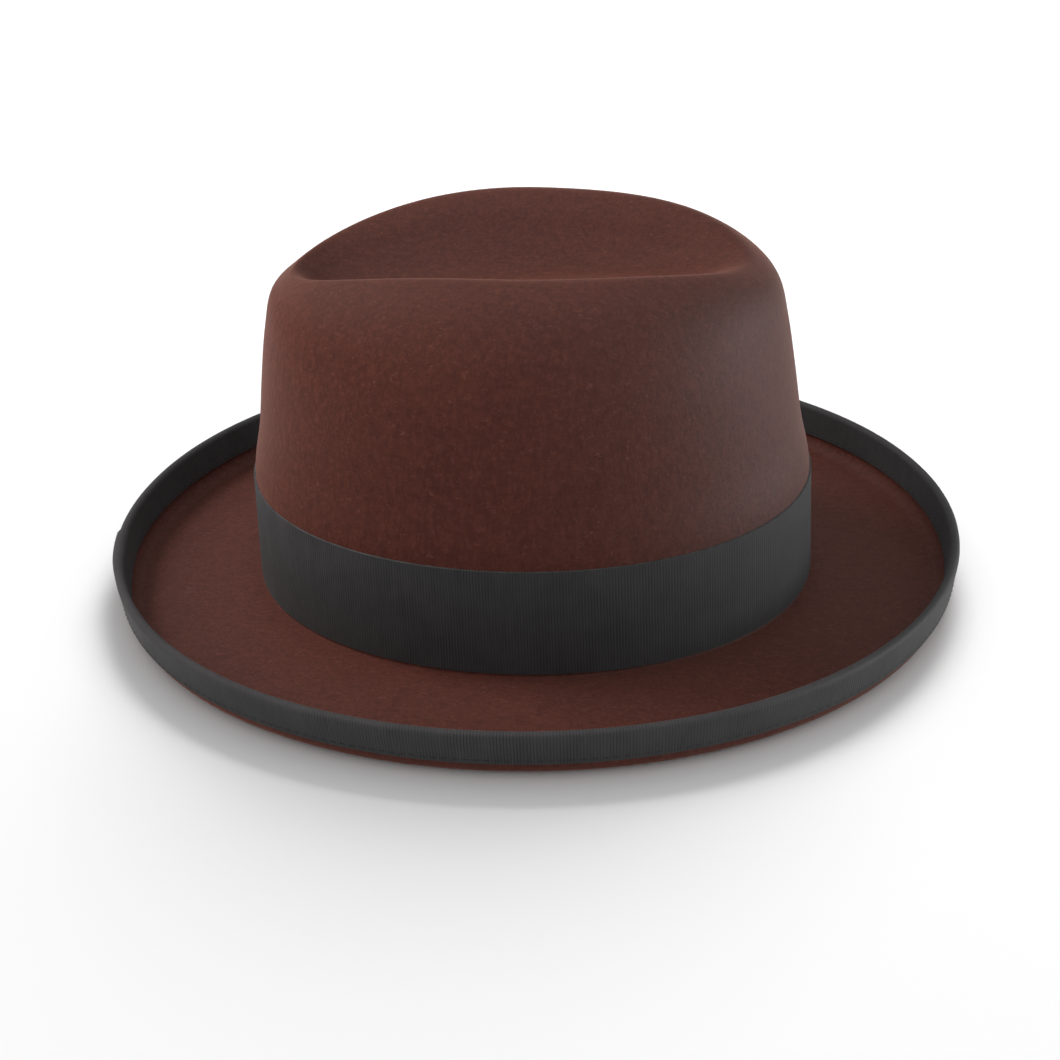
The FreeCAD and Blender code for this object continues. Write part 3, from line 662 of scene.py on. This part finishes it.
def crests(count, shape=RIBBON_RIB):
    """Ribs along a ribbon, from 0 in a groove to 1 on a crest."""
    return np.resize(shape, count)


def loop(name, place, path, thick, stations, ribs=0.0, sharp=50):
    """A strip joined into a loop: a closed path, carried across its width."""
    along = np.roll(path, -1, 0) - np.roll(path, 1, 0)
    along /= np.linalg.norm(along, axis=-1, keepdims=True)
    left = np.stack([-along[:, 1], along[:, 0]], -1)
    ridge = ribs * crests(len(path))[:, None]
    face = path + left * (thick / 2 + ridge)
    back = path - left * (thick / 2 + ridge)
    rows = [place(s, face[:, 0], face[:, 1]) for s in stations]
    rows += [place(s, back[:, 0], back[:, 1]) for s in stations[::-1]]
    piece = woven(name, rows, sharp)
    mark(piece, "rib", np.tile(crests(len(path)), len(rows)))
    return piece


def tiny_place(height, along, out):
    inner = sweat_out(height) - SWEAT_THICK / 2 - 2 * THREAD - 0.0001
    return on_wall(BACK + along / (HEAD_LENGTH / 2), inner - out, height)


tiny_turns = round_turns(32)
tiny_path = np.stack([0.011 * np.cos(tiny_turns),
                      0.00145 + (0.0005 + 0.0011 * np.abs(np.sin(2 * tiny_turns))) * np.sin(tiny_turns)], -1)
tiny_loops = loop("little_bow_loops", tiny_place, closed_smooth(tiny_path, 160), TINY_CLOTH,
                  rounded_ends(0.0100, 0.0160, 0.0003, 5))
satin = cloth_finish("dark_brown_satin", (0.022, 0.010, 0.007, 1), (0.034, 0.016, 0.011, 1),
                     0.0003, 0.00003, rough=0.38, sheen=0.15)
satin.wear(tiny_loops)
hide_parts("back_bow_loops")
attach(tiny_loops, "root")

knot_low, knot_high, knot_back, knot_front = 0.0095, 0.0165, 0.00025, 0.00275
knot_reach = (knot_front - knot_back) / 2
knot_middle = (knot_back + knot_front) / 2
tiny_knot_path = np.concatenate([
    arc((knot_middle, knot_low + knot_reach), knot_reach, 180, 360, 9),
    [(knot_front, h) for h in np.linspace(knot_low + knot_reach, knot_high - knot_reach, 5)[1:-1]],
    arc((knot_middle, knot_high - knot_reach), knot_reach, 0, 180, 9),
    [(knot_back, h) for h in np.linspace(knot_high - knot_reach, knot_low + knot_reach, 5)[1:-1]]])
tiny_knot = loop("little_bow_wrap", lambda along, out, height: tiny_place(height, along, out),
                 tiny_knot_path, TINY_CLOTH, np.linspace(-0.002, 0.002, 7))
satin.wear(tiny_knot)
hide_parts("back_bow_knot")
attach(tiny_knot, "root")

# ---- Lining ----------------------------------------------------------------------
# Taffeta-backed satin: a side band whose foot is tucked behind the leather, and an
# oval tip joined to it over a covered cord.  It hangs free of the felt.
LINING, LINING_GAP, LINING_FOOT, LINING_SAG = 0.00025, 0.00035, 0.030, 0.0025
PIPING = 0.0009
LINING_TURNS = round_turns(420)


def lining_rows(depth):
    outside = np.concatenate([crown_rows(LINING_TURNS, 8), brim_rows(LINING_TURNS)[:4]])
    inside = moved_in(outside, depth)
    heights = inside[..., 2].mean(1)
    top = CROWN_RINGS[0][5] * CROWN_HEIGHT - FELT - LINING_GAP - 0.004
    return inside[(heights >= LINING_FOOT) & (heights <= top - 0.001)]


def soft_folds(turns, seed, waves=14):
    """A smooth uneven ripple round the hat, from 0 to 1."""
    chance = np.random.default_rng(seed)
    total = np.zeros_like(turns)
    for k in range(waves):
        total += chance.normal() / (1 + 0.12 * k) * np.cos((k + 5) * turns + chance.uniform(0, 6.28))
    total -= total.min()
    return total / total.max()


lining_face = lining_rows(FELT + LINING_GAP)
lining_back = lining_rows(FELT + LINING_GAP + LINING)
drop = np.linspace(0, 1, len(lining_face))
swell = np.sin(math.pi * np.clip(drop / 0.75, 0, 1))[:, None] * soft_folds(LINING_TURNS, 5)[None, :] * 0.0011
inward = lining_back - lining_face
inward /= np.linalg.norm(inward, axis=-1, keepdims=True)
lining_side = two_sided("lining_side_band", lining_face + inward * swell[..., None],
                        lining_back + inward * swell[..., None], True)


def satin_finish():
    """Bronze satin: floats of the weave run round the hat and catch the light."""
    finish = Finish("bronze_satin_lining", Roughness=0.34, Anisotropic=0.4,
                    Sheen_Weight=0.25, Sheen_Roughness=0.3, Specular_IOR_Level=0.5)
    floats = finish.noise(700.0, 2.0, 0.5, (1, 1, 6.0))
    cloud = finish.noise(26.0, 3.0, 0.5)
    colour = finish.mix(cloud, (0.150, 0.098, 0.060, 1), (0.205, 0.140, 0.090, 1))
    colour = finish.mix(floats * 0.35, colour, (0.105, 0.066, 0.040, 1))
    creases = finish.spread(finish.noise(75.0, 3.0, 0.6, (1, 1, 0.4), 1.2), 0.35, 0.65)
    soft = finish.bump(creases, 0.0009, 0.35)
    finish.feed(finish.shader, {"Base Color": colour, "Roughness": 0.26 + 0.2 * floats,
                                "Normal": finish.bump(floats, 0.00004, 0.6, soft)})
    return finish


lining_satin = satin_finish()
lining_satin.wear(lining_side)
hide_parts("lining_side")
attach(lining_side, "root")

seam = lining_rows(FELT + LINING_GAP + LINING / 2)[0]
seam_along = np.roll(seam, -1, 0) - np.roll(seam, 1, 0)
seam_out = np.stack([seam_along[:, 1], -seam_along[:, 0], np.zeros(len(seam))], -1)
seam_out /= np.linalg.norm(seam_out, axis=-1, keepdims=True)
cord_line = seam - seam_out * (PIPING + LINING / 2 + LAID) - np.array([0, 0, PIPING * 0.3])
piping = tube("lining_seam_cord", cord_line, seam_out, PIPING, True, 14)
satin.wear(piping)
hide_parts("lining_piping")
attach(piping, "root")

tip_level = seam[:, 2].max() + PIPING + LAID + 0.0002
tip_parts = np.array([0.06, 0.12, 0.2, 0.3, 0.4, 0.5, 0.6, 0.7, 0.8, 0.88, 0.94, 0.985])
tip_folds = soft_folds(LINING_TURNS, 8, 20)
tip_rows = []
for part in tip_parts:
    row = seam * part
    lift = tip_folds * 0.0010 * math.sin(math.pi * part) ** 2
    row[:, 2] = tip_level - LINING_SAG * (1 - part * part) - lift
    tip_rows.append(row)
tip_rows = np.array(tip_rows)
lower = tip_rows.copy()
lower[..., 2] -= LINING
lining_tip = capped("lining_oval_tip", np.concatenate([tip_rows, lower[::-1]]), 50)
lining_satin.wear(lining_tip)
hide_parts("lining_tip")
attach(lining_tip, "root")

# ---- Size ticket -----------------------------------------------------------------
# A blank slip of cream paper tucked behind the leather, a little to one side of
# the back seam.
ticket_low = SWEAT_FOOT + 0.016
ticket_path = np.stack([np.full(5, -(FELT + INSIDE_GAP + 0.00015)),
                        np.linspace(ticket_low, ticket_low + 0.012, 5)], -1)
ticket = strip("size_slip", on_wall, ticket_path, 0.00015, np.linspace(BACK + 0.35, BACK + 0.59, 24))
paper = Finish("cream_paper", Roughness=0.8)
fibre = paper.noise(900.0, 3.0, 0.6)
paper.feed(paper.shader, {"Base Color": paper.mix(fibre, (0.60, 0.55, 0.42, 1), (0.70, 0.66, 0.54, 1)),
                          "Normal": paper.bump(fibre, 0.00004, 0.5)})
paper.wear(ticket)
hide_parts("size_ticket")
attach(ticket, "root")

# ---- Brim binding ----------------------------------------------------------------
# One length of charcoal grosgrain folded in half over the brim edge, its ribs
# running over the fold, and one end lapped over the other at the back.
BINDING_WIDTH, BINDING_THICK, BINDING_LAP = 0.0123, 0.00055, 0.013
RIB_PITCH, RIB_HEIGHT = 0.00106, 0.00009
BINDING_RIB = (0.0, 1.0, 1.0)
LAP_TURN, LAP_SLOPE = math.radians(194.7), 0.15
LAP_LIFT = BINDING_THICK + LAID + RIB_HEIGHT


def binding_section(lift):
    """Up the outside, over the edge and down the inside."""
    radius = EDGE_RADIUS + LAID + BINDING_THICK / 2 + lift
    foot = edge_top + radius + BINDING_THICK / 2 - BINDING_WIDTH
    climb = rounded_ends(foot, edge_top, 0.0002, 3)[:-1]
    rise = np.stack([np.full(len(climb), radius), climb], -1)
    fold = arc((0, edge_top), radius, 0, 180, 6)
    fall = np.stack([np.full(len(climb), -radius), climb[::-1]], -1)
    return np.concatenate([rise, fold, fall])


def lapped_over(turns):
    """How far the finishing end stands out as it climbs over the starting end."""
    part = np.clip((LAP_TURN - 2 * math.pi + LAP_SLOPE + 0.02 - turns) / LAP_SLOPE, 0, 1)
    return LAP_LIFT * part**2 * (3 - 2 * part)


binding_stop = LAP_TURN - 2 * math.pi - BINDING_LAP / (BRIM_LENGTH / 2)
rib_turns = evenly(lambda t: on_curl(t, 0.0, edge_top), RIB_PITCH / len(BINDING_RIB),
                   LAP_TURN, binding_stop, 20000)
rib_turns[0], rib_turns[-1] = LAP_TURN, binding_stop
lap_lift = lapped_over(rib_turns)
rib = RIB_HEIGHT * crests(len(rib_turns), BINDING_RIB)
plain, lapped = binding_section(0.0), binding_section(LAP_LIFT)
climbed = (lap_lift / LAP_LIFT)[None, :]
outward = beside(plain, -1.0) - plain
binding_sides = []
for half in (-BINDING_THICK / 2, BINDING_THICK / 2):
    flat, lifted = beside(plain, half), beside(lapped, half)
    across = flat[:, :1] * (1 - climbed) + lifted[:, :1] * climbed
    up = flat[:, 1:] * (1 - climbed) + lifted[:, 1:] * climbed
    if half < 0:
        across, up = across + outward[:, :1] * rib, up + outward[:, 1:] * rib
    binding_sides.append(np.array([on_curl(rib_turns, a, u) for a, u in zip(across, up)]))
binding = two_sided("grosgrain_binding", *binding_sides, False, 60)
mark(binding, "rib", np.tile(rib / RIB_HEIGHT, 2 * len(plain)))
# Marks the binding's two lower edges, where the finish paints a lighter highlight.
binding_edge = np.zeros(len(plain))
binding_edge[[0, 1, -2, -1]] = 0.5
mark(binding, "selvedge", np.repeat(np.concatenate([binding_edge, binding_edge[::-1]]), len(rib_turns)))


def grosgrain_finish(name, dark, light):
    """Ribbed ribbon: close warp threads over thick cords, a low dry lustre, with painted shade in the rib
    grooves and a painted highlight along the woven edges.
    """
    finish = Finish(name, Roughness=0.72, Sheen_Weight=0.08, Sheen_Roughness=0.4,
                    Sheen_Tint=(0.75, 0.75, 0.80, 1), Specular_IOR_Level=0.22)
    cloud = finish.spread(finish.noise(45.0, 3.0, 0.6), 0.3, 0.7)
    warp = finish.noise(2600.0, 2.0, 0.6)
    streak = finish.spread(finish.noise(420.0, 3.0, 0.7, (1, 1, 0.07)), 0.3, 0.7)
    uneven_groove_shade = finish.spread(finish.noise(95.0, 2.0, 0.6), 0.38, 0.66)
    colour = finish.mix(0.3 * cloud + 0.4 * streak + 0.3 * warp, dark, light)
    # Painted shade: the rib grooves are coloured darker, more in some streaks and patches than others.
    groove = (1.0 - finish.marked("rib")) * (0.14 + 0.26 * streak + 0.34 * uneven_groove_shade)
    colour = finish.mix(groove, colour, (0.004, 0.004, 0.0045, 1))
    # Painted highlight: lighter grey flecks along the edges marked as selvedge.
    painted_edge_highlight = finish.marked("selvedge") * finish.spread(finish.noise(300.0, 1.0, 0.5), 0.3, 0.6)
    colour = finish.mix(painted_edge_highlight * 0.6, colour, (0.085, 0.090, 0.092, 1))
    finish.feed(finish.shader, {"Base Color": colour, "Roughness": 0.64 + 0.2 * warp,
                                "Normal": finish.bump(warp, 0.00006, 0.6)})
    return finish


charcoal = grosgrain_finish("charcoal_grosgrain", (0.029, 0.0288, 0.0298, 1), (0.058, 0.0570, 0.0592, 1))
charcoal.wear(binding)
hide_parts("brim_binding")
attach(binding, "root")

# ---- Binding stitches ------------------------------------------------------------
# Machine lockstitch through both halves of the binding and the felt between, a
# stitch's width above the ribbon's lower edges.
STITCH_PITCH, STITCH_LENGTH, STITCH_RISE = 0.0035, 0.0028, 0.0015


def binding_row(name, side, node):
    radius = EDGE_RADIUS + LAID + BINDING_THICK
    foot = edge_top + radius - BINDING_WIDTH
    across = radius + RIB_HEIGHT * 0.5 + THREAD * 0.3

    def place(turns):
        lift = lapped_over(turns)
        return on_curl(turns, side * (across + lift), foot + lift + STITCH_RISE)

    turns = evenly(place, STITCH_PITCH, binding_stop + 0.012, LAP_TURN - 0.012)
    ups = side * (on_curl(turns, 0.001, 0.0) - on_curl(turns, 0.0, 0.0))
    row = stitches(name, place(turns), place(turns + 0.01) - place(turns - 0.01), ups,
                   STITCH_LENGTH, THREAD * 1.1)
    black_thread.wear(row)
    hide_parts(node)
    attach(row, "root")


black_thread = thread_finish("charcoal_thread", (0.014, 0.014, 0.015, 1), (0.034, 0.033, 0.034, 1), 0.03)
binding_row("binding_lockstitch_outside", 1, "binding_stitches_outer")
binding_row("binding_lockstitch_inside", -1, "binding_stitches_inner")

# ---- Ribbon round the crown --------------------------------------------------------
# Charcoal grosgrain drawn tight round the foot of the crown.  The ribs stand
# upright, and the ends meet under the bow at the wearer's left.
BOW_TURN = math.radians(90)
RIBBON_GAP = 0.0006


def ribbed_band():
    reach = RIBBON_GAP / HEAD_LENGTH
    start, stop = BOW_TURN + reach, BOW_TURN + 2 * math.pi - reach
    turns = evenly(lambda t: on_wall(t, 0.0, RIBBON_FOOT), RIB_PITCH / len(RIBBON_RIB),
                   start, stop, 20000)
    rib = RIB_HEIGHT * crests(len(turns))
    heights = rounded_ends(RIBBON_FOOT + LAID, RIBBON_TOP, 0.00035, 12)
    edge = np.ones(len(heights))
    edge[[0, -1]] = 0.45
    face = [on_wall(turns, LAID + RIBBON_THICK * e + rib, h) for e, h in zip(edge, heights)]
    back = [on_wall(turns, LAID, h) for h in heights]
    band = two_sided("crown_ribbon_band", np.array(face), np.array(back), False, 60)
    mark(band, "rib", np.tile(rib / RIB_HEIGHT, 2 * len(heights)))
    # Marks the ribbon's lower and upper edges, where the finish paints a lighter highlight.
    woven_edge = np.zeros(len(heights))
    woven_edge[[0, 1, -1]] = 1.0
    mark(band, "selvedge", np.repeat(np.concatenate([woven_edge, woven_edge[::-1]]), len(turns)))
    return band


ribbon = ribbed_band()
charcoal.wear(ribbon)
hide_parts("crown_ribbon")
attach(ribbon, "root")

# ---- Bow ---------------------------------------------------------------------------
# Made from the same ribbon: a flat under-piece with slanted ends, two pressed
# loops on it, and a cross-piece wrapped round the middle and tacked down.
BOW_CLOTH, BOW_LENGTH, KNOT_LENGTH = 0.0005, 0.076, 0.015
KNOT_OUT = LAID + BOW_CLOTH / 2
TAILS_OUT = KNOT_OUT + BOW_CLOTH + LAID
LOOPS_OUT = TAILS_OUT + BOW_CLOTH + LAID


def on_bow(height, along, out):
    """Along the ribbon from the bow's middle, and out from the ribbon's face."""
    return on_wall(BOW_TURN + along / (HEAD_LENGTH / 2), LAID + RIBBON_THICK + out, height)


def bow_tails():
    low, high_up = RIBBON_FOOT + 0.001, RIBBON_TOP - 0.001
    half = BOW_LENGTH / 2 + 0.003
    along = np.linspace(-half, half, int(2 * half / RIB_PITCH) * len(RIBBON_RIB) + 1)
    rib = RIB_HEIGHT * crests(len(along))
    face, back = [], []
    for height in rounded_ends(low, high_up, 0.0003, 10):
        slant = 1 - 0.09 * (height - low) / (high_up - low)
        face.append(on_bow(height, along * slant, TAILS_OUT + BOW_CLOTH / 2 + rib * 0.5))
        back.append(on_bow(height, along * slant, TAILS_OUT - BOW_CLOTH / 2))
    piece = two_sided("bow_underpiece", np.array(face), np.array(back), False, 60)
    mark(piece, "rib", np.tile(rib / RIB_HEIGHT, 2 * len(face)))
    return piece


tails = bow_tails()
charcoal.wear(tails)
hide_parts("bow_tails")
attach(tails, "root")

loop_turns = round_turns(48)
bow_rise = 0.0026
swell = np.abs(np.sin(loop_turns)) ** 0.7 * bow_rise * (0.18 + 0.82 * np.sin(2 * loop_turns) ** 2)
front_half = np.sin(loop_turns) >= 0
loop_out = LOOPS_OUT + bow_rise * 0.25 + np.where(front_half, swell, -swell * 0.12)
loop_out = loop_out + np.where(front_half, 0.0003, -0.0003)
loop_path = np.stack([BOW_LENGTH / 2 * np.cos(loop_turns), loop_out], -1)
loops = loop("bow_folded_loops", on_bow, closed_smooth(loop_path, 640), BOW_CLOTH,
             rounded_ends(RIBBON_FOOT + 0.0016, RIBBON_TOP - 0.0016, 0.0003, 9), RIB_HEIGHT * 0.6)
charcoal.wear(loops)
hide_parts("bow_loops")
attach(loops, "root")

low, high_up = RIBBON_FOOT + 0.0005, RIBBON_TOP - 0.0005
front = LOOPS_OUT + 0.0024
reach, middle = (front - KNOT_OUT) / 2, (KNOT_OUT + front) / 2
knot_path = np.concatenate([
    [(KNOT_OUT, h) for h in np.linspace(high_up, low, 9)],
    arc((middle, low), reach, 180, 360, 9)[1:-1] + [0, reach * 0.6],
    [(front, h) for h in np.linspace(low, high_up, 9)],
    arc((middle, high_up), reach, 0, 180, 9)[1:-1] - [0, reach * 0.6]])
knot = loop("bow_crosspiece", lambda along, out, height: on_bow(height, along, out),
            closed_smooth(knot_path, 360), BOW_CLOTH,
            rounded_ends(-KNOT_LENGTH / 2, KNOT_LENGTH / 2, 0.0003, 7),
            RIB_HEIGHT * 0.6)
charcoal.wear(knot)
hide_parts("bow_knot")
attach(knot, "root")

tack_spots = [(a, h) for a in (-KNOT_LENGTH / 2 - 0.0015, KNOT_LENGTH / 2 + 0.0015)
              for h in (RIBBON_FOOT + 0.002, RIBBON_TOP - 0.002)]
tack_out = TAILS_OUT + BOW_CLOTH / 2 + THREAD
tack_middles = [on_bow(h, a, tack_out) for a, h in tack_spots]
tack_ups = [on_bow(h, a, 0.01) - on_bow(h, a, 0.0) for a, h in tack_spots]
tack_alongs = [np.cross([0, 0, 1], up) for up in tack_ups]
tacks = stitches("bow_tack_stitches", tack_middles, tack_alongs, tack_ups, 0.0022, THREAD)
black_thread.wear(tacks)
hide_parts("bow_stitches")
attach(tacks, "root")

# ---- Table and light ---------------------------------------------------------------
# A pale matt table under soft light from all round.  A window and a warm fill at
# the left light the hat, and a strip and a card are seen only as gloss on it.
floor_mesh = bpy.data.meshes.new("table")
floor_mesh.from_pydata([(-6, -6, 0), (6, -6, 0), (6, 6, 0), (-6, 6, 0)], [], [(0, 1, 2, 3)])
floor = bpy.data.objects.new("table", floor_mesh)
bpy.context.scene.collection.objects.link(floor)
table_top = Finish("pale_table", Base_Color=(0.92, 0.92, 0.92, 1), Roughness=0.9, Specular_IOR_Level=0.0)
table_top.wear(floor)

world = bpy.data.worlds.new("soft_room")
world.use_nodes = True
world.node_tree.nodes["Background"].inputs["Color"].default_value = (1, 1, 1, 1)
world.node_tree.nodes["Background"].inputs["Strength"].default_value = 0.63
bpy.context.scene.world = world


def lamp(name, spot, aim, size, power, colour=(1, 1, 1), diffuse=True, gloss=True):
    light = bpy.data.lights.new(name, "AREA")
    light.shape, light.size, light.energy, light.color = "DISK", size, power, colour
    lamp_object = bpy.data.objects.new(name, light)
    lamp_object.location = spot
    direction = Vector(aim) - Vector(spot)
    lamp_object.rotation_euler = direction.to_track_quat("-Z", "Y").to_euler()
    lamp_object.visible_diffuse, lamp_object.visible_glossy = diffuse, gloss
    bpy.context.scene.collection.objects.link(lamp_object)
    return lamp_object


window = lamp("window", (-1.1, 0.25, 1.35), (0, 0, 0.10), 0.6, 13.6, (1.0, 0.94, 0.90))
left_fill = lamp("left_fill", (-1.5, -0.20, 0.70), (0, 0, 0.08), 0.7, 6.5, (1.0, 0.84, 0.76), gloss=False)
lamp("right_strip", (1.3, 0.12, 0.27), (0, 0, 0.10), 0.45, 25.5, diffuse=False)
lamp("overhead_card", (0.1, -0.3, 2.2), (0, 0, 0.05), 1.6, 22, (1.0, 0.82, 0.76), diffuse=False)

# Two lamps behind wash the table alone and two at the left light the hat alone,
# which sets how deep the shadow in front of the hat is.
table_only = bpy.data.collections.new("table_only")
table_only.objects.link(floor)
for wash in (lamp("back_broad", (0.1, 1.7, 1.7), (0, 0, 0.05), 1.5, 40),
             lamp("back_high", (0.15, 1.6, 2.2), (0, 0, 0), 0.7, 9)):
    wash.light_linking.receiver_collection = table_only
hat_only = bpy.data.collections.new("hat_only")
for piece in bpy.context.scene.objects:
    if piece.type == "MESH" and piece is not floor:
        hat_only.objects.link(piece)
for key in (window, left_fill):
    key.light_linking.receiver_collection = hat_only

# ---- Camera --------------------------------------------------------------------------
# A slightly long lens, a little ahead of the wearer's right side, looking down at
# the hat and tipped slightly over.
CAMERA_SPOT = (0.1216, -0.6544, 0.3809)
CAMERA_ROUND, CAMERA_ABOVE, CAMERA_TIP = (math.radians(a) for a in (10.636, 28.844, -2.336))
camera_data = bpy.data.cameras.new("camera")
camera_data.sensor_width = 36.0
camera_data.lens = 67.31
camera = bpy.data.objects.new("camera", camera_data)
camera.matrix_world = (Matrix.Translation(CAMERA_SPOT) @ Matrix.Rotation(CAMERA_ROUND, 4, "Z")
                       @ Matrix.Rotation(math.pi / 2 - CAMERA_ABOVE, 4, "X")
                       @ Matrix.Rotation(CAMERA_TIP, 4, "Z"))
bpy.context.scene.collection.objects.link(camera)
bpy.context.scene.camera = camera
bpy.context.scene.view_settings.view_transform = "Standard"
